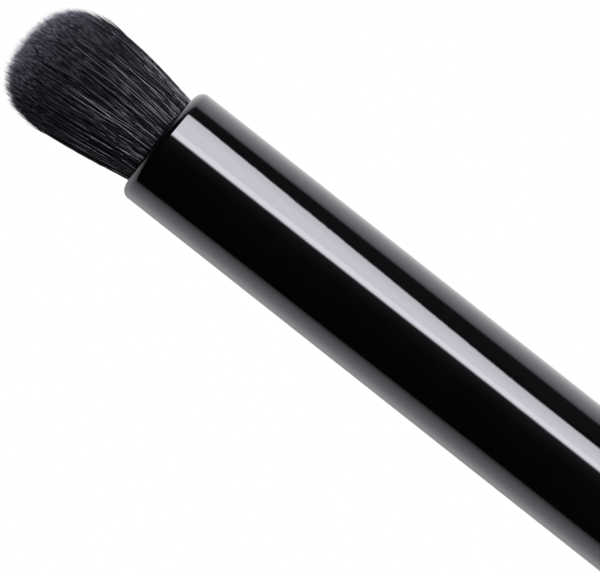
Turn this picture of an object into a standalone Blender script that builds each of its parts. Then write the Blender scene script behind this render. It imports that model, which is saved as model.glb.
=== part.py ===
"""Eyebrow brush: a straight, round, gloss black barrel with a short domed tuft of dark filaments.

The brush stands on its flat tail. Z runs along its axis, from the tail face at z = 0 to the tip of the tuft,
and every size is in metres. From the outside in, the barrel slides over a core, and the core's tenon is
crimped into a metal ferrule just below the barrel's mouth. Epoxy holds the tuft in the ferrule. A steel slug
near the tail gives the brush its weight, and a snap cap closes the tail.
"""

import math
import random

import bmesh
import bpy
from mathutils.geometry import delaunay_2d_cdt

# Barrel, the outer tube
HANDLE_LENGTH = 0.128  # from the tail face to the mouth
BARREL_DIAMETER = 0.0090
BARREL_WALL = 0.0009
LIP_ROUNDING = 0.00066  # the outer edge of the mouth
MOUTH_EASING = 0.00012  # the inner edge of the mouth
SEAM_CHAMFER = 0.00012  # the two edges that meet at the tail cap's seam

# Fits between the pieces
SLIDE_CLEARANCE = 0.00015  # radial, between round pieces that slide together
GLUE_GAP = 0.00008  # radial, between the ferrule and what is glued in it
SEAT_GAP = 0.00015  # along the axis, between faces that rest on each other

# Tail cap
CAP_HEAD_HEIGHT = 0.0032
CAP_EDGE_ROUNDING = 0.0008
CAP_SPIGOT_LENGTH = 0.0060
CAP_SPIGOT_WALL = 0.00125
CAP_FLOOR = 0.0046  # solid end below the spigot's pit
SNAP_BEAD_HEIGHT = 0.00020
SNAP_BEAD_LENGTH = 0.0010

# Ferrule, the metal tube that holds the tuft
FERRULE_RECESS = 0.0020  # from the mouth down to the ferrule's rim
FERRULE_LENGTH = 0.0220
FERRULE_WALL = 0.00022
CRIMP_COUNT = 2
CRIMP_DEPTH = 0.00025
CRIMP_LENGTH = 0.0012
CRIMP_PITCH = 0.0024
CRIMP_FROM_END = 0.0026  # from the ferrule's lower end to the middle of the first crimp

# Core, the rod inside the barrel, with the weight and the pad in its bore
CORE_WALL = 0.00105
CORE_CHAMFER = 0.0003
CORE_BORE_END = 0.0010  # free bore beyond the weight
TENON_LENGTH = 0.0085
WEIGHT_LENGTH = 0.0400
WEIGHT_CHAMFER = 0.0003
PAD_LENGTH = 0.0072

# Tuft
EPOXY_DEPTH = 0.0040  # between the core's tenon and the tuft's packed root
TUFT_DIAMETER = 0.0091  # at the belly
BELLY_HEIGHT = 0.0070  # from the mouth to the widest point
DOME_HEIGHT = 0.0048  # from the widest point to the tip
FLARE_POWER = 1.2  # above 1, the tuft leaves the mouth more steeply
DOME_POWER = 2.7  # 2 is an ellipse, more is squarer
TUFT_LEAN = 0.00034  # the tip's offset towards -X
LEAN_POWER = 2.0  # above 1, the lean grows towards the tip
FILAMENT_COUNT = 320
FILAMENT_FULLNESS = 0.74  # filament radius against the tuft's radius over the root of the count
LENGTH_SCATTER = 0.00012
TIP_TAPER = 0.0009  # length of each filament's point
TIP_TUCK = 0.03  # how far the points turn in, as a share of their distance from the axis
SCATTER_SEED = 7

# Facets
OUTER_STEPS = 64
INNER_STEPS = 32
ARC_STEPS = 6
SMOOTH_BELOW = math.radians(35)

# Places along the axis
mouth = HANDLE_LENGTH
barrel_foot = CAP_HEAD_HEIGHT + SEAT_GAP
spigot_top = CAP_HEAD_HEIGHT + CAP_SPIGOT_LENGTH
bead_middle = CAP_HEAD_HEIGHT + CAP_SPIGOT_LENGTH / 2
core_foot = spigot_top + SEAT_GAP
pad_foot = CAP_FLOOR + SEAT_GAP
pad_top = pad_foot + PAD_LENGTH
weight_foot = pad_top + SEAT_GAP
weight_top = weight_foot + WEIGHT_LENGTH
core_bore_top = weight_top + CORE_BORE_END
rim = mouth - FERRULE_RECESS
ferrule_foot = rim - FERRULE_LENGTH
core_shoulder = ferrule_foot - SEAT_GAP
tenon_top = core_shoulder + TENON_LENGTH
epoxy_foot = tenon_top + SEAT_GAP
epoxy_top = epoxy_foot + EPOXY_DEPTH
root_foot = epoxy_top + SEAT_GAP
belly = mouth + BELLY_HEIGHT
tip = belly + DOME_HEIGHT

# Radii, from the outside in
barrel_radius = BARREL_DIAMETER / 2
bore_radius = barrel_radius - BARREL_WALL
inner_radius = bore_radius - SLIDE_CLEARANCE  # of the pieces that slide in the barrel
bead_radius = inner_radius + SNAP_BEAD_HEIGHT
groove_radius = bead_radius + SLIDE_CLEARANCE
pit_radius = inner_radius - CAP_SPIGOT_WALL
ferrule_bore_radius = inner_radius - FERRULE_WALL
tenon_radius = ferrule_bore_radius - SLIDE_CLEARANCE
glued_radius = ferrule_bore_radius - GLUE_GAP
core_bore_radius = inner_radius - CORE_WALL
weight_radius = core_bore_radius - SLIDE_CLEARANCE
pad_radius = min(pit_radius, core_bore_radius) - SLIDE_CLEARANCE

# Radii of the tuft at its root, at the mouth and at the belly
root_radius = glued_radius - GLUE_GAP
mouth_radius = bore_radius - SLIDE_CLEARANCE
belly_radius = TUFT_DIAMETER / 2


def clear_scene():
    """Removes whatever the file opened with."""
    for thing in list(bpy.data.objects):
        bpy.data.objects.remove(thing, do_unlink=True)


def material(name, colour, roughness, metallic=0.0):
    """A plain Principled material."""
    made = bpy.data.materials.new(name)
    made.use_nodes = True
    shader = made.node_tree.nodes["Principled BSDF"]
    shader.inputs["Base Color"].default_value = (*colour, 1.0)
    shader.inputs["Roughness"].default_value = roughness
    shader.inputs["Metallic"].default_value = metallic
    made.diffuse_color = (*colour, 1.0)
    return made


def add_object(name, mesh, finish):
    """Turns a bmesh into a smooth-shaded object of that name."""
    data = bpy.data.meshes.new(name)
    mesh.to_mesh(data)
    mesh.free()
    data.shade_smooth()
    data.set_sharp_from_angle(angle=SMOOTH_BELOW)
    data.materials.append(finish)
    made = bpy.data.objects.new(name, data)
    bpy.context.scene.collection.objects.link(made)
    return made


def arc(centre_radius, centre_height, size, start, end, steps=ARC_STEPS):
    """Outline points of an arc, whose angles are in degrees from the outward direction."""
    angles = [math.radians(start + (end - start) * i / steps) for i in range(steps + 1)]
    return [(centre_radius + size * math.cos(a), centre_height + size * math.sin(a)) for a in angles]


def band(radius, band_radius, middle, length):
    """Outline points, going up, of a raised or sunk band with sloping flanks."""
    flank = min(abs(band_radius - radius), length / 3)
    return [
        (radius, middle - length / 2),
        (band_radius, middle - length / 2 + flank),
        (band_radius, middle + length / 2 - flank),
        (radius, middle + length / 2),
    ]


def turned(name, outline, steps, finish):
    """A solid turned about Z from (radius, height) points.

    An outline that starts and ends on the axis makes a full body, and any other is closed into a ring.
    """
    mesh = bmesh.new()
    points = [mesh.verts.new((radius, 0.0, height)) for radius, height in outline]
    pairs = list(zip(points, points[1:]))
    if outline[0][0] > 0.0:
        pairs.append((points[-1], points[0]))
    edges = [mesh.edges.new(pair) for pair in pairs]
    bmesh.ops.spin(
        mesh,
        geom=points + edges,
        cent=(0.0, 0.0, 0.0),
        axis=(0.0, 0.0, 1.0),
        angle=math.tau,
        steps=steps,
        use_merge=True,
    )
    bmesh.ops.remove_doubles(mesh, verts=mesh.verts, dist=1e-7)
    bmesh.ops.recalc_face_normals(mesh, faces=mesh.faces)
    return add_object(name, mesh, finish)


def barrel(finish):
    """The outer tube, rounded at the mouth, with a groove in its bore for the cap's snap bead."""
    lip = min(LIP_ROUNDING, BARREL_WALL - MOUTH_EASING)
    outline = [(bore_radius, barrel_foot), (barrel_radius - SEAM_CHAMFER, barrel_foot)]
    outline.append((barrel_radius, barrel_foot + SEAM_CHAMFER))
    outline += arc(barrel_radius - lip, mouth - lip, lip, 0, 90, steps=ARC_STEPS + 2)
    outline += arc(bore_radius + MOUTH_EASING, mouth - MOUTH_EASING, MOUTH_EASING, 90, 180, steps=2)
    outline += reversed(band(bore_radius, groove_radius, bead_middle, SNAP_BEAD_LENGTH + 2 * SEAT_GAP))
    return turned("barrel", outline, OUTER_STEPS, finish)


def tail_cap(finish):
    """The end plug: a rounded head that the brush stands on, and a hollow spigot with a snap bead."""
    edge = CAP_EDGE_ROUNDING
    outline = [(0.0, 0.0)]
    outline += arc(barrel_radius - edge, edge, edge, -90, 0)
    outline.append((barrel_radius, CAP_HEAD_HEIGHT - SEAM_CHAMFER))
    outline.append((barrel_radius - SEAM_CHAMFER, CAP_HEAD_HEIGHT))
    outline.append((inner_radius, CAP_HEAD_HEIGHT))
    outline += band(inner_radius, bead_radius, bead_middle, SNAP_BEAD_LENGTH)
    outline.append((inner_radius, spigot_top - CORE_CHAMFER))
    outline.append((inner_radius - CORE_CHAMFER, spigot_top))
    outline += [(pit_radius, spigot_top), (pit_radius, CAP_FLOOR), (0.0, CAP_FLOOR)]
    return turned("tail_cap", outline, OUTER_STEPS, finish)


def crimp_middles():
    """Heights of the crimps' middles, from the lowest up."""
    return [ferrule_foot + CRIMP_FROM_END + i * CRIMP_PITCH for i in range(CRIMP_COUNT)]


def ferrule(finish):
    """The tube that holds the tuft, crimped into the grooves of the core's tenon."""
    outside = [(inner_radius, ferrule_foot)]
    inside = [(ferrule_bore_radius, ferrule_foot)]
    for middle in crimp_middles():
        outside += band(inner_radius, inner_radius - CRIMP_DEPTH, middle, CRIMP_LENGTH)
        inside += band(ferrule_bore_radius, ferrule_bore_radius - CRIMP_DEPTH, middle, CRIMP_LENGTH)
    outside.append((inner_radius, rim))
    inside.append((ferrule_bore_radius, rim))
    return turned("ferrule", outside + inside[::-1], INNER_STEPS, finish)


def handle_core(finish):
    """The rod that fills the barrel, bored from below for the weight, with a grooved tenon on top."""
    outline = [(0.0, core_bore_top), (core_bore_radius, core_bore_top)]
    outline += [(core_bore_radius, core_foot), (inner_radius - CORE_CHAMFER, core_foot)]
    outline += [(inner_radius, core_foot + CORE_CHAMFER), (inner_radius, core_shoulder)]
    outline.append((tenon_radius, core_shoulder))
    for middle in crimp_middles():
        outline += band(tenon_radius, tenon_radius - CRIMP_DEPTH, middle, CRIMP_LENGTH + 2 * SEAT_GAP)
    outline += [(tenon_radius, tenon_top - CORE_CHAMFER), (tenon_radius - CORE_CHAMFER, tenon_top)]
    outline.append((0.0, tenon_top))
    return turned("handle_core", outline, INNER_STEPS, finish)


def balance_weight(finish):
    """The steel slug in the core's bore."""
    end_radius = weight_radius - WEIGHT_CHAMFER
    outline = [(0.0, weight_foot), (end_radius, weight_foot), (weight_radius, weight_foot + WEIGHT_CHAMFER)]
    outline += [(weight_radius, weight_top - WEIGHT_CHAMFER), (end_radius, weight_top), (0.0, weight_top)]
    return turned("balance_weight", outline, INNER_STEPS, finish)


def plug(name, radius, foot, top, finish):
    """A plain round solid."""
    outline = [(0.0, foot), (radius, foot), (radius, top), (0.0, top)]
    return turned(name, outline, INNER_STEPS, finish)


def tuft_radius(height):
    """The tuft's radius: straight out from the rim to the mouth, then curving out to the belly."""
    if height < mouth:
        share = max((height - rim) / FERRULE_RECESS, 0.0)
        return root_radius + (mouth_radius - root_radius) * share
    share = min((height - mouth) / BELLY_HEIGHT, 1.0)
    return mouth_radius + (belly_radius - mouth_radius) * math.sin(math.pi / 2 * share) ** FLARE_POWER


def dome(share):
    """Height of the domed tip at a distance from the axis, as a share of the belly's radius."""
    return belly + DOME_HEIGHT * (1 - share**DOME_POWER) ** (1 / DOME_POWER)


def lean(height):
    """The tuft's offset along X: none up to the mouth, and most at the tip."""
    return -TUFT_LEAN * max((height - mouth) / (tip - mouth), 0.0) ** LEAN_POWER


def filament(index, scatter):
    """One filament, as its rings of three points from the root up, and its tip.

    The filaments lie on a sunflower spiral that widens with the tuft, so none crosses another.
    """
    share = math.sqrt((index + 0.5) / FILAMENT_COUNT)
    turn = index * math.pi * (3 - math.sqrt(5))
    spin = scatter.uniform(0, math.tau)
    angles = [spin + math.tau * k / 3 for k in range(3)]
    point_share = share * (1 - TIP_TUCK)
    end = dome(point_share) - scatter.uniform(0, LENGTH_SCATTER)

    rings = []
    for height in (rim, mouth, (mouth + belly) / 2, end - TIP_TAPER):
        size = FILAMENT_FULLNESS * tuft_radius(height) / math.sqrt(FILAMENT_COUNT)
        reach = share * (tuft_radius(height) - size)
        x = reach * math.cos(turn) + lean(height)
        y = reach * math.sin(turn)
        rings.append([(x + size * math.cos(a), y + size * math.sin(a), height) for a in angles])
    reach = point_share * belly_radius
    return rings, (reach * math.cos(turn) + lean(end), reach * math.sin(turn), end)


def bristle_tuft(finish):
    """The filaments, three-sided and pointed, grown out of the packed root that the ferrule holds."""
    scatter = random.Random(SCATTER_SEED)
    filaments = [filament(i, scatter) for i in range(FILAMENT_COUNT)]
    turns = [math.tau * i / INNER_STEPS for i in range(INNER_STEPS)]
    edge = [(glued_radius * math.cos(a), glued_radius * math.sin(a)) for a in turns]

    flat = edge + [corner[:2] for rings, _ in filaments for corner in rings[0]]
    footprints = [[INNER_STEPS + 3 * i + k for k in range(3)] for i in range(FILAMENT_COUNT)]
    placed, _, triangles, _, _, sources = delaunay_2d_cdt(flat, [], footprints, 0, 1e-9)

    mesh = bmesh.new()
    top = [mesh.verts.new((x, y, rim)) for x, y in placed]
    for triangle, source in zip(triangles, sources):
        if not source:
            mesh.faces.new([top[i] for i in triangle])
    bottom = [mesh.verts.new((x, y, root_foot)) for x, y in edge]
    mesh.faces.new(bottom[::-1])
    for i in range(INNER_STEPS):
        after = (i + 1) % INNER_STEPS
        mesh.faces.new((bottom[i], bottom[after], top[after], top[i]))
    for footprint, (rings, end) in zip(footprints, filaments):
        grow_filament(mesh, [top[i] for i in footprint], rings[1:], end)
    bmesh.ops.recalc_face_normals(mesh, faces=mesh.faces)
    return add_object("bristle_tuft", mesh, finish)


def grow_filament(mesh, root, rings, end):
    """Adds the sides of one filament, from the three vertices at its root up to its point."""
    below = root
    for ring in rings:
        above = [mesh.verts.new(corner) for corner in ring]
        for k in range(3):
            after = (k + 1) % 3
            mesh.faces.new((below[k], below[after], above[after], above[k]))
        below = above
    point = mesh.verts.new(end)
    for k in range(3):
        mesh.faces.new((below[k], below[(k + 1) % 3], point))


def main():
    """Builds the brush."""
    clear_scene()
    gloss_black = material("gloss_black_plastic", (0.004, 0.004, 0.005), 0.04)
    core_black = material("core_black_plastic", (0.02, 0.02, 0.02), 0.45)
    aluminium = material("ferrule_aluminium", (0.80, 0.80, 0.81), 0.30, 1.0)
    steel = material("weight_steel", (0.45, 0.45, 0.46), 0.35, 1.0)
    foam = material("pad_foam", (0.25, 0.25, 0.26), 0.90)
    amber = material("epoxy_amber", (0.55, 0.36, 0.14), 0.25)
    charcoal = material("filament_charcoal", (0.035, 0.034, 0.042), 0.42)

    barrel(gloss_black)
    tail_cap(gloss_black)
    ferrule(aluminium)
    handle_core(core_black)
    balance_weight(steel)
    plug("rattle_pad", pad_radius, pad_foot, pad_top, foam)
    plug("epoxy_plug", glued_radius, epoxy_foot, epoxy_top, amber)
    bristle_tuft(charcoal)


main()
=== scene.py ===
"""The looks of an eyebrow brush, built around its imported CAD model.

A gloss black barrel stands on its tail cap and holds a dense, domed tuft of dark filaments. Z runs up the
brush's axis, the viewer of the photograph is towards -Y, and every size is in metres unless its name says
otherwise. The barrel, the cap, the pad and the tuft are made here in full. The ferrule, the core, the weight
and the glue are inside, so their CAD nodes stay and get a finish each.
"""

import logging
import math
from collections.abc import Callable, Sequence
from dataclasses import asdict, dataclass
from enum import Enum
from types import SimpleNamespace
from typing import Any

import bmesh
import bpy
from mathutils import Matrix, Vector


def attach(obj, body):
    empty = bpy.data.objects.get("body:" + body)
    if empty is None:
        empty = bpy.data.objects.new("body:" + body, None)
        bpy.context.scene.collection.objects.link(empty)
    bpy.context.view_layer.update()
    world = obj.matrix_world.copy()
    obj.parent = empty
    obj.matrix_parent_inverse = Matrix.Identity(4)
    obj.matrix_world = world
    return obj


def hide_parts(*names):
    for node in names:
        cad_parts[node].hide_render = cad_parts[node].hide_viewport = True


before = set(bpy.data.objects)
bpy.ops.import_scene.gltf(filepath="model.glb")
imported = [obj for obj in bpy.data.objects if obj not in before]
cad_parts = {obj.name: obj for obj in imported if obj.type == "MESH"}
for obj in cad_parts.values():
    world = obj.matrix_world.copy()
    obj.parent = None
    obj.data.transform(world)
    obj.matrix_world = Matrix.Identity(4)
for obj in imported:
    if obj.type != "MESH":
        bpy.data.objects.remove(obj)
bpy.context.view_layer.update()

log = logging.getLogger("brush")

MM = 0.001
GOLDEN_TURN = math.pi * (3 - math.sqrt(5))
GUARD_SHARE = 0.12
Colour = tuple[float, float, float]
Outline = list[tuple[float, float]]


# Wiring of node trees


class TreeKind(Enum):
    """The two kinds of node group that are built here."""

    GEOMETRY = "GeometryNodeTree"
    SHADER = "ShaderNodeTree"


class Plug(Enum):
    """The kinds of named input and output that a node group has."""

    NUMBER = "NodeSocketFloat"
    COUNT = "NodeSocketInt"
    GEOMETRY = "NodeSocketGeometry"
    MATERIAL = "NodeSocketMaterial"


class Wire:
    """One output of a node. Arithmetic on it adds Math nodes to its tree."""

    def __init__(self, board: "Board", socket: bpy.types.NodeSocket) -> None:
        """Keeps the output and the board that it is on."""
        self.board = board
        self.socket = socket

    def __add__(self, other: "Feed") -> "Wire":
        """The sum."""
        return self.board.math("ADD", self, other)

    def __sub__(self, other: "Feed") -> "Wire":
        """The difference."""
        return self.board.math("SUBTRACT", self, other)

    def __rsub__(self, other: "Feed") -> "Wire":
        """The difference, from a plain number."""
        return self.board.math("SUBTRACT", other, self)

    def __mul__(self, other: "Feed") -> "Wire":
        """The product."""
        return self.board.math("MULTIPLY", self, other)

    def __truediv__(self, other: "Feed") -> "Wire":
        """The quotient."""
        return self.board.math("DIVIDE", self, other)

    def __pow__(self, other: "Feed") -> "Wire":
        """The power."""
        return self.board.math("POWER", self, other)

    def __neg__(self) -> "Wire":
        """The value with its sign changed."""
        return self.board.math("MULTIPLY", self, -1.0)

    __radd__ = __add__
    __rmul__ = __mul__


Feed = Wire | float | int | bool | str | Sequence[float] | bpy.types.ID | None
Feeds = dict[str | int, Feed] | None


class Board:
    """A node tree while it is being wired, for shaders and for geometry alike."""

    def __init__(self, tree: bpy.types.NodeTree) -> None:
        """Works on that tree."""
        self.tree = tree

    def feed(self, socket: bpy.types.NodeSocket, value: Feed) -> None:
        """Sets an input to a plain value, or links a wire to it.

        Args:
            socket: the input.
            value: the value or the wire, or None to leave the input as it is.
        """
        if isinstance(value, Wire):
            self.tree.links.new(value.socket, socket)
        elif value is not None:
            socket.default_value = value

    def add(self, kind: str, feeds: Feeds = None, **settings: Any) -> bpy.types.Node:
        """Adds a node.

        Args:
            kind: the node's type.
            feeds: values for its inputs, by name or by place.
            settings: the node's own options.

        Returns:
            The node.
        """
        node = self.tree.nodes.new(kind)
        for name, value in settings.items():
            setattr(node, name, value)
        for key, value in (feeds or {}).items():
            self.feed(pick_socket(node.inputs, key), value)
        return node

    def take(self, kind: str, output: str | int, feeds: Feeds = None, **settings: Any) -> Wire:
        """Adds a node and hands back one of its outputs.

        Args:
            kind: the node's type.
            output: the output's name or place.
            feeds: values for its inputs, by name or by place.
            settings: the node's own options.

        Returns:
            The wire from that output.
        """
        node = self.add(kind, feeds, **settings)
        return Wire(self, pick_socket(node.outputs, output))

    def math(self, operation: str, *values: Feed, clamp: bool = False) -> Wire:
        """A Math node on plain values and wires."""
        return self.take("ShaderNodeMath", 0, dict(enumerate(values)), operation=operation, use_clamp=clamp)

    def vector(self, operation: str, *values: Feed) -> Wire:
        """A Vector Math node whose inputs and output are vectors."""
        return self.take("ShaderNodeVectorMath", "Vector", dict(enumerate(values)), operation=operation)

    def scaled(self, vector: Feed, size: Feed) -> Wire:
        """A vector made longer or shorter by a factor."""
        return self.take("ShaderNodeVectorMath", "Vector", {0: vector, "Scale": size}, operation="SCALE")

    def length(self, vector: Feed) -> Wire:
        """The length of a vector."""
        return self.take("ShaderNodeVectorMath", "Value", {0: vector}, operation="LENGTH")

    def join(self, x: Feed, y: Feed, z: Feed) -> Wire:
        """A vector from its three parts."""
        return self.take("ShaderNodeCombineXYZ", "Vector", {"X": x, "Y": y, "Z": z})

    def split(self, vector: Wire) -> tuple[Wire, Wire, Wire]:
        """The three parts of a vector."""
        node = self.add("ShaderNodeSeparateXYZ", {"Vector": vector})
        return Wire(self, node.outputs[0]), Wire(self, node.outputs[1]), Wire(self, node.outputs[2])

    def ramp(self, value: Feed, low: Feed, high: Feed, start: Feed = 0.0, end: Feed = 1.0) -> Wire:
        """A smooth step of a value.

        Args:
            value: what is looked at.
            low: where the step begins.
            high: where it ends.
            start: what it gives below the step.
            end: what it gives above the step.

        Returns:
            The stepped value.
        """
        feeds = {"Value": value, "From Min": low, "From Max": high, "To Min": start, "To Max": end}
        return self.take("ShaderNodeMapRange", "Result", feeds, interpolation_type="SMOOTHSTEP")

    def noise(self, place: Feed, scale: Feed, detail: float = 2.0, output: str = "Fac", **more: Feed) -> Wire:
        """Noise at a place, about 0.5 on average.

        Args:
            place: the place.
            scale: turns of the noise for each unit of length.
            detail: how many finer layers it has.
            output: "Fac" for one value or "Color" for three.
            more: other inputs of the node.

        Returns:
            The noise.
        """
        feeds = {"Vector": place, "Scale": scale, "Detail": detail, **more}
        return self.take("ShaderNodeTexNoise", output, feeds)

    def blend(self, factor: Feed, first: Feed, second: Feed) -> Wire:
        """A colour between two colours."""
        feeds = {"Factor": factor, "A": first, "B": second}
        return self.take("ShaderNodeMix", "Result", feeds, data_type="RGBA")

    def mix(self, share: Wire, first: Wire, second: Wire) -> Wire:
        """A shader between two shaders."""
        return self.take("ShaderNodeMixShader", 0, {0: share, 1: first, 2: second})

    def object_place(self) -> Wire:
        """Where on its object a point is."""
        return self.take("ShaderNodeTexCoord", "Object")

    def geometry(self, kind: str, feeds: Feeds) -> Wire:
        """A geometry node that hands its geometry on."""
        return self.take("GeometryNode" + kind, "Geometry", feeds)


class GroupBoard(Board):
    """A node group while it is being wired, with named inputs and outputs of its own."""

    def __init__(self, name: str, kind: TreeKind) -> None:
        """Starts a new group.

        Args:
            name: the group's name.
            kind: shader or geometry.
        """
        super().__init__(bpy.data.node_groups.new(name, kind.value))
        self.entry = self.tree.nodes.new("NodeGroupInput")
        self.exit = self.tree.nodes.new("NodeGroupOutput")

    def inlet(self, name: str, plug: Plug, default: Feed = None) -> Wire:
        """Adds a named input to the group.

        Args:
            name: the input's name.
            plug: its kind.
            default: its value until another is set.

        Returns:
            The wire that brings the input in.
        """
        item = self.tree.interface.new_socket(name=name, in_out="INPUT", socket_type=plug.value)
        if default is not None:
            item.default_value = default
        return Wire(self, self.entry.outputs[name])

    def outlet(self, name: str, plug: Plug, wire: Wire) -> None:
        """Adds a named output to the group.

        Args:
            name: the output's name.
            plug: its kind.
            wire: what it puts out.
        """
        self.tree.interface.new_socket(name=name, in_out="OUTPUT", socket_type=plug.value)
        self.tree.links.new(wire.socket, self.exit.inputs[name])

    def end_mesh(self, mesh: Wire) -> None:
        """Ends a geometry group: its mesh comes out smooth, real and in the material of its last input.

        Args:
            mesh: what the group has made.
        """
        smooth = self.geometry("SetShadeSmooth", {"Geometry": mesh})
        real = self.geometry("RealizeInstances", {"Geometry": smooth})
        feeds = {"Geometry": real, "Material": self.inlet("Material", Plug.MATERIAL)}
        self.outlet("Mesh", Plug.GEOMETRY, self.geometry("SetMaterial", feeds))


class Coat(Board):
    """A material's tree while it is being wired, with its Principled shader."""

    def set(self, name: str, value: Feed) -> None:
        """Sets one of the shader's inputs, or links a wire to it."""
        self.feed(self.tree.nodes["Principled BSDF"].inputs[name], value)

    def emboss(self, height: Wire, depth: float) -> None:
        """Raises the surface by a height from 0 to 1, of which 1 stands that many metres high."""
        feeds = {"Height": height, "Distance": depth, "Strength": 1.0}
        self.set("Normal", self.take("ShaderNodeBump", "Normal", feeds))


def pick_socket(sockets: Sequence[bpy.types.NodeSocket], key: str | int) -> bpy.types.NodeSocket:
    """Finds a socket by its place, or by its name among those in use.

    Args:
        sockets: a node's inputs or outputs.
        key: the socket's place or name.

    Returns:
        The socket.
    """
    if isinstance(key, int):
        return sockets[key]
    return next(socket for socket in sockets if socket.name == key and socket.enabled)


def rgba(colour: Colour) -> tuple[float, float, float, float]:
    """A colour with full alpha."""
    return (*colour, 1.0)


def shade(colour: Colour, factor: float) -> Colour:
    """A colour made darker or lighter."""
    return (colour[0] * factor, colour[1] * factor, colour[2] * factor)


def input_name(field: str) -> str:
    """The name of the node input that takes a field's value."""
    return field.replace("_", " ").title()


@dataclass(frozen=True)
class Step:
    """A smooth step: where it begins and ends, and what it gives before and after."""

    low: float
    high: float
    before: float = 0.0
    after: float = 1.0

    def of(self, value: Wire) -> Wire:
        """The step of a value."""
        return value.board.ramp(value, self.low, self.high, self.before, self.after)


class Draw(Enum):
    """Factors that make further random values out of the one chance value of a strand."""

    SPLAY = 13.7
    SHINE = 17.0
    LIGHT = 31.7
    TIP = 57.3
    TILT = 97.0
    WAVE_LANE = 173.0
    RUN_LANE = 211.0

    def of(self, chance: Wire) -> Wire:
        """A value far from those of other strands, which gives each a lane of its own in a noise."""
        return chance * self.value

    def share(self, chance: Wire) -> Wire:
        """A random value from 0 to 1."""
        return chance.board.math("FRACT", self.of(chance))


# Effects that more than one finish uses


class Effects:
    """The shader node groups, each built when a finish first asks for it."""

    PATCHES = Step(0.3, 0.7)
    PATCH_ROUGHNESS = 0.6
    STRETCH_ALONG = (6.0, 6.0, 0.12)
    STRETCH_ROUND = (0.15, 0.15, 5.0)
    LINES_ALONG = Step(0.66, 0.72)
    LINES_ROUND = Step(0.68, 0.74)
    GAPS = Step(0.45, 0.62)
    GAP_SCALE = 0.35
    WEAR = Step(0.0, 1.0, 1.0, 0.12)
    STRETCH_RINGS = (0.02, 0.02, 1.0)

    made: dict[str, bpy.types.NodeTree] = {}

    @classmethod
    def place(cls, board: Board, effect: Callable[[], bpy.types.NodeTree], **feeds: Feed) -> dict[str, Wire]:
        """Puts an effect in a material.

        Args:
            board: the material's board.
            effect: the method that builds the effect.
            feeds: values for its inputs, with underscores for spaces.

        Returns:
            Its outputs by name.
        """
        name = effect.__name__
        if name not in cls.made:
            cls.made[name] = effect()
        inputs = {input_name(key): value for key, value in feeds.items()}
        node = board.add("ShaderNodeGroup", inputs, node_tree=cls.made[name])
        return {output.name: Wire(board, output) for output in node.outputs}

    @classmethod
    def fine_grain(cls) -> bpy.types.NodeTree:
        """Even grain with slow, faint patches, as any moulded, cast or sprayed surface has.

        Returns:
            The group: Grain Scale, Patch Scale and Seed in, Grain and Patches from 0 to 1 out.
        """
        board = GroupBoard("fine_grain", TreeKind.SHADER)
        grain_scale = board.inlet("Grain Scale", Plug.NUMBER, 4000.0)
        patch_scale = board.inlet("Patch Scale", Plug.NUMBER, 300.0)
        seed = board.inlet("Seed", Plug.NUMBER, 0.0)
        place = board.object_place()
        moved = board.vector("ADD", place, board.join(seed, seed, seed))
        board.outlet("Grain", Plug.NUMBER, board.noise(moved, grain_scale, detail=3.0))
        patches = board.noise(moved, patch_scale, detail=4.0, Roughness=cls.PATCH_ROUGHNESS)
        board.outlet("Patches", Plug.NUMBER, cls.PATCHES.of(patches))
        return board.tree

    @classmethod
    def handling_marks(cls) -> bpy.types.NodeTree:
        """Hairline marks that run round and along a turned piece, denser near one end.

        Returns:
            The group: Scale, Worn Height and Fade in, Marks from 0 to 1 out.
        """
        board = GroupBoard("handling_marks", TreeKind.SHADER)
        scale = board.inlet("Scale", Plug.NUMBER, 900.0)
        wear_and_tip_light = board.inlet("Worn Height", Plug.NUMBER, 0.0)
        fade = board.inlet("Fade", Plug.NUMBER, 0.01)
        place = board.object_place()
        along = board.noise(board.vector("MULTIPLY", place, cls.STRETCH_ALONG), scale)
        round_ = board.noise(board.vector("MULTIPLY", place, cls.STRETCH_ROUND), scale)
        lines = board.math("MAXIMUM", cls.LINES_ALONG.of(along), cls.LINES_ROUND.of(round_))
        _, _, height = board.split(place)
        near = cls.WEAR.of(board.math("ABSOLUTE", height - wear_and_tip_light) / fade)
        broken = cls.GAPS.of(board.noise(place, scale * cls.GAP_SCALE, detail=1.0))
        board.outlet("Marks", Plug.NUMBER, lines * near * broken)
        return board.tree

    @classmethod
    def turning_rings(cls) -> bpy.types.NodeTree:
        """The fine rings that a lathe or a drawing die leaves round a metal piece.

        Returns:
            The group: Pitch Scale in, Rings from 0 to 1 out.
        """
        board = GroupBoard("turning_rings", TreeKind.SHADER)
        scale = board.inlet("Pitch Scale", Plug.NUMBER, 9000.0)
        place = board.object_place()
        rings = board.noise(board.vector("MULTIPLY", place, cls.STRETCH_RINGS), scale, detail=3.0)
        board.outlet("Rings", Plug.NUMBER, rings)
        return board.tree


@dataclass(frozen=True)
class Grain:
    """How fine the grain of a surface is, how large its patches are, and the seed that sets it apart."""

    scale: float
    patch_scale: float
    seed: float = 0.0

    def on(self, coat: Coat) -> dict[str, Wire]:
        """The surface's Grain and Patches, each from 0 to 1."""
        feeds = {"grain_scale": self.scale, "patch_scale": self.patch_scale, "seed": self.seed}
        return Effects.place(coat, Effects.fine_grain, **feeds)


@dataclass(frozen=True)
class Wear:
    """How far from a height a piece is marked by handling, and how fine the marks are."""

    fade: float
    height: float = 0.0
    scale: float = 900.0

    def on(self, coat: Coat) -> Wire:
        """The surface's marks, from 0 to 1."""
        feeds = {"scale": self.scale, "worn_height": self.height, "fade": self.fade}
        return Effects.place(coat, Effects.handling_marks, **feeds)["Marks"]


# Finishes


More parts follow.
